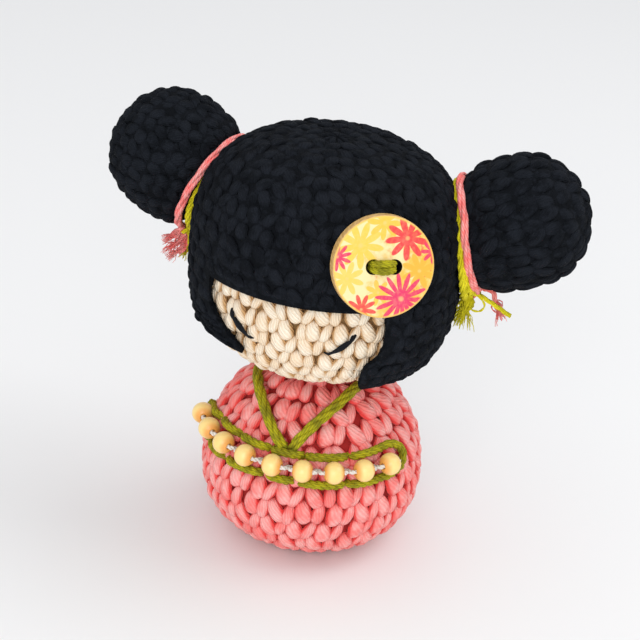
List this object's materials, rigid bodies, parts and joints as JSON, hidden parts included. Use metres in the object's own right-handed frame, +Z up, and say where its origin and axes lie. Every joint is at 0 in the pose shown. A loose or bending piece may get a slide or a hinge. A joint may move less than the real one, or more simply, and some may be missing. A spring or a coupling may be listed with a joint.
{
  "type": "amigurumi doll",
  "caption": "Crocheted stuffed doll with a round body, big round head, hair cap, tied side buns, a sewn-on wooden button and a beaded yarn sash; stands on its flat base.",
  "frame": {"origin": "the middle of the flat base, on the axis of the body and neck", "axes": "+Z up along the axis of the body; -Y the way the face looks; +X towards the bun beside the button, on the right as seen from the front"},
  "size_m": [0.1048, 0.0576, 0.0945],
  "materials": {
    "pink_yarn": "matte crocheted cotton yarn",
    "cream_yarn": "matte crocheted cotton yarn",
    "black_yarn": "matte crocheted cotton yarn",
    "olive_yarn": "matte plied yarn",
    "black_thread": "embroidery thread, slight sheen",
    "white_thread": "sewing thread",
    "stuffing": "loose white fibre fill",
    "bead_wood": "varnished natural wood",
    "button_wood": "wood with a printed and varnished front"
  },
  "bodies": {
    "body": {"body_cover": "pink_yarn", "body_stuffing": "stuffing", "left_collar_stitch": "olive_yarn", "right_collar_stitch": "olive_yarn", "sash_yarn": "olive_yarn", "bead_thread": "white_thread"},
    "neck": {"neck_seam": "pink_yarn"},
    "head": {"head_cover": "cream_yarn", "head_stuffing": "stuffing", "hair_cap": "black_yarn", "left_eye_stitch": "black_thread", "right_eye_stitch": "black_thread", "button_yarn": "olive_yarn", "left_bun_seam": "black_yarn", "right_bun_seam": "black_yarn"},
    "button": {"wooden_button": "button_wood"},
    "left_bun": {"left_bun_cover": "black_yarn", "left_bun_stuffing": "stuffing", "left_bun_olive_tie": "olive_yarn", "left_bun_pink_tie": "pink_yarn"},
    "right_bun": {"right_bun_cover": "black_yarn", "right_bun_stuffing": "stuffing", "right_bun_olive_tie": "olive_yarn", "right_bun_pink_tie": "pink_yarn"},
    "bead_1": {"bead_1": "bead_wood"},
    "bead_2": {"bead_2": "bead_wood"},
    "bead_3": {"bead_3": "bead_wood"},
    "bead_4": {"bead_4": "bead_wood"},
    "bead_5": {"bead_5": "bead_wood"},
    "bead_6": {"bead_6": "bead_wood"},
    "bead_7": {"bead_7": "bead_wood"},
    "bead_8": {"bead_8": "bead_wood"},
    "bead_9": {"bead_9": "bead_wood"}
  },
  "joints": [
    {"name": "head_nod", "type": "hinge", "parent": "body", "child": "neck", "pos_m": [0, 0, 0.04383], "axis": [1, 0, 0], "range_deg": [-6, 6], "stiffness_Nm_per_rad": 0.08, "deforming": ["neck_seam"]},
    {"name": "head_turn", "type": "hinge", "parent": "neck", "child": "head", "pos_m": [0, 0, 0.04383], "axis": [0, 0, 1], "range_deg": [-20, 20], "stiffness_Nm_per_rad": 0.03},
    {"name": "left_bun_sway", "type": "hinge", "parent": "head", "child": "left_bun", "pos_m": [-0.02725, 0.0045, 0.07478], "axis": [-0.1736, -0.9848, 0], "range_deg": [-6, 6], "stiffness_Nm_per_rad": 0.03, "deforming": ["left_bun_seam"]},
    {"name": "right_bun_sway", "type": "hinge", "parent": "head", "child": "right_bun", "pos_m": [0.02725, 0.0045, 0.07478], "axis": [0.1736, -0.9848, 0], "range_deg": [-6, 6], "stiffness_Nm_per_rad": 0.03, "deforming": ["right_bun_seam"]},
    {"name": "button_twist", "type": "hinge", "parent": "head", "child": "button", "pos_m": [0.01652, -0.0258, 0.0783], "axis": [0.4535, -0.8529, 0.2588], "range_deg": [-10, 10], "stiffness_Nm_per_rad": 0.002},
    {"name": "bead_1_spin", "type": "hinge", "parent": "body", "child": "bead_1", "pos_m": [-0.02257, -0.01029, 0.02779], "axis": [0.4149, -0.9099, 0], "continuous": true},
    {"name": "bead_2_spin", "type": "hinge", "parent": "body", "child": "bead_2", "pos_m": [-0.01907, -0.01586, 0.02779], "axis": [0.6396, -0.7687, 0], "continuous": true},
    {"name": "bead_3_spin", "type": "hinge", "parent": "body", "child": "bead_3", "pos_m": [-0.01422, -0.02032, 0.02779], "axis": [0.8192, -0.5735, 0], "continuous": true},
    {"name": "bead_4_spin", "type": "hinge", "parent": "body", "child": "bead_4", "pos_m": [-0.00838, -0.02334, 0.02779], "axis": [0.9412, -0.3379, 0], "continuous": true},
    {"name": "bead_5_spin", "type": "hinge", "parent": "body", "child": "bead_5", "pos_m": [-0.00195, -0.02473, 0.02779], "axis": [0.9969, -0.0785, 0], "continuous": true},
    {"name": "bead_6_spin", "type": "hinge", "parent": "body", "child": "bead_6", "pos_m": [0.00462, -0.02437, 0.02779], "axis": [0.9825, 0.1865, 0], "continuous": true},
    {"name": "bead_7_spin", "type": "hinge", "parent": "body", "child": "bead_7", "pos_m": [0.01087, -0.02229, 0.02779], "axis": [0.8988, 0.4383, 0], "continuous": true},
    {"name": "bead_8_spin", "type": "hinge", "parent": "body", "child": "bead_8", "pos_m": [0.01635, -0.01865, 0.02779], "axis": [0.752, 0.6592, 0], "continuous": true},
    {"name": "bead_9_spin", "type": "hinge", "parent": "body", "child": "bead_9", "pos_m": [0.02068, -0.01369, 0.02779], "axis": [0.5521, 0.8338, 0], "continuous": true}
  ]
}
